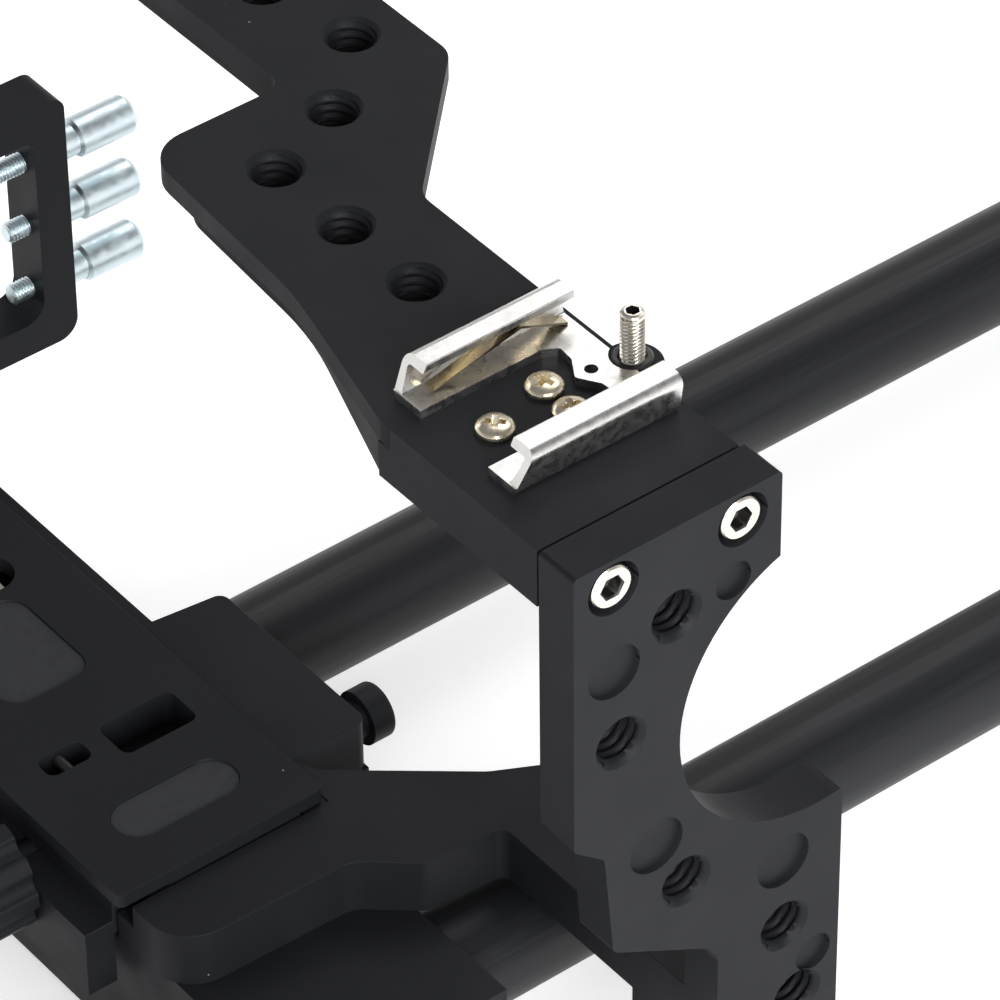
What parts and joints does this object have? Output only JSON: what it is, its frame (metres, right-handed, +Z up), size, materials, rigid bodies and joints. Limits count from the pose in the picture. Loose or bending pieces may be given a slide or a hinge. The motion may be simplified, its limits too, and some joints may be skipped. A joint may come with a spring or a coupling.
{
  "type": "camera cage",
  "caption": "C-shaped camera cage: drilled zigzag top plate with accessory shoe, notched side plate, quick-release base with clamp, and two rods for lens accessories.",
  "frame": {"origin": "on the floor under the base, midway between the two rods, level in Y with the rear edge of the side plate", "axes": "+X along the top plate towards the side plate, +Y along the rods towards the lens, +Z up"},
  "size_m": [0.164, 0.304, 0.1188],
  "materials": {
    "black_anodised": "satin black anodised",
    "rod_anodised": "smooth black anodised",
    "nickel_sheet": "bright nickel plate on stamped steel",
    "nickel_screw": "bright nickel plate",
    "black_steel": "black oxide",
    "spring_steel": "bright wire",
    "rubber_pad": "matt",
    "rubber_foot": "matt",
    "black_knob": "knurled, black anodised",
    "black_plastic": "matt",
    "nylon": "matt",
    "brass_bush": "turned"
  },
  "bodies": {
    "cage": {"top_plate": "black_anodised", "side_plate": "black_anodised", "upper_cap_screws": "nickel_screw", "lower_cap_screws": "nickel_screw", "shoe_channel": "nickel_sheet", "shoe_leaf_spring": "spring_steel", "shoe_screws": "nickel_screw", "stop_boss": "black_steel", "bottom_arm": "black_anodised", "jaw_guide_pins": "spring_steel", "clamp_block": "black_anodised", "tripod_bush": "brass_bush", "block_screws": "black_steel", "foot_strips": "rubber_foot", "cable_frame": "black_anodised", "frame_screws": "black_steel", "left_rod_shoe": "nylon", "right_rod_shoe": "nylon", "release_spring": "spring_steel"},
    "stop_post": {"stop_screw": "nickel_screw"},
    "camera_plate": {"quick_plate": "black_anodised", "plate_pads": "rubber_pad", "slot_bar": "spring_steel"},
    "camera_screw_washer": {"screw_washer": "nylon"},
    "camera_mount_screw": {"camera_screw": "nickel_screw"},
    "plate_jaw": {"clamp_jaw": "black_anodised"},
    "jaw_hand_knob": {"jaw_knob": "black_knob"},
    "button": {"release_button": "black_knob"},
    "rod_left": {"left_rod": "rod_anodised", "left_rod_caps": "black_plastic"},
    "rod_right": {"right_rod": "rod_anodised", "right_rod_caps": "black_plastic"},
    "left_hand_knob": {"left_rod_knob": "black_knob"},
    "right_hand_knob": {"right_rod_knob": "black_knob"},
    "cable_screw_lower": {"cable_screw_1": "nickel_screw"},
    "cable_screw_middle": {"cable_screw_2": "nickel_screw"},
    "cable_screw_upper": {"cable_screw_3": "nickel_screw"}
  },
  "joints": [
    {"name": "stop_screw_turn", "type": "hinge", "parent": "cage", "child": "stop_post", "pos_m": [0.0475, 0.0279, 0.11], "axis": [0, 0, 1], "range_deg": [-1080, 1080]},
    {"name": "camera_plate_slide", "type": "slide", "parent": "cage", "child": "camera_plate", "axis": [1, 0, 0], "range_m": [-0.013, 0]},
    {"name": "camera_screw_slide", "type": "slide", "parent": "camera_plate", "child": "camera_screw_washer", "axis": [0, 1, 0], "range_m": [-0.003, 0.003]},
    {"name": "camera_screw_turn", "type": "hinge", "parent": "camera_screw_washer", "child": "camera_mount_screw", "pos_m": [-0.046, -0.003, 0.03], "axis": [0, 0, 1], "continuous": true},
    {"name": "jaw_slide", "type": "slide", "parent": "cage", "child": "plate_jaw", "axis": [0, 1, 0], "range_m": [-0.0022, 0]},
    {"name": "jaw_knob_turn", "type": "hinge", "parent": "plate_jaw", "child": "jaw_hand_knob", "pos_m": [-0.009, -0.028, 0.0232], "axis": [0, 1, 0], "range_deg": [0, 1580]},
    {"name": "release_button_press", "type": "slide", "parent": "cage", "child": "button", "axis": [0, 1, 0], "range_m": [-0.002, 0], "stiffness_N_per_m": 300, "springref_m": 0.001, "deforming": ["release_spring"]},
    {"name": "left_rod_slide", "type": "slide", "parent": "cage", "child": "rod_left", "axis": [0, 1, 0], "range_m": [-0.06, 0.06]},
    {"name": "right_rod_slide", "type": "slide", "parent": "cage", "child": "rod_right", "axis": [0, 1, 0], "range_m": [-0.06, 0.06]},
    {"name": "left_rod_knob_turn", "type": "hinge", "parent": "cage", "child": "left_hand_knob", "pos_m": [-0.05, -0.009, 0.013], "axis": [-1, 0, 0], "range_deg": [0, 720]},
    {"name": "right_rod_knob_turn", "type": "hinge", "parent": "cage", "child": "right_hand_knob", "pos_m": [0.05, -0.009, 0.013], "axis": [1, 0, 0], "range_deg": [0, 720]},
    {"name": "cable_screw_lower_turn", "type": "hinge", "parent": "cage", "child": "cable_screw_lower", "pos_m": [-0.0835, 0.045, 0.037], "axis": [0, 1, 0], "range_deg": [-1080, 720]},
    {"name": "cable_screw_middle_turn", "type": "hinge", "parent": "cage", "child": "cable_screw_middle", "pos_m": [-0.0835, 0.045, 0.0472], "axis": [0, 1, 0], "range_deg": [-1080, 720]},
    {"name": "cable_screw_upper_turn", "type": "hinge", "parent": "cage", "child": "cable_screw_upper", "pos_m": [-0.0835, 0.045, 0.0574], "axis": [0, 1, 0], "range_deg": [-1080, 720]}
  ],
  "couplings": [
    {"joint": "jaw_slide", "follows": "jaw_knob_turn", "m_per_rad": -0.000079577}
  ]
}
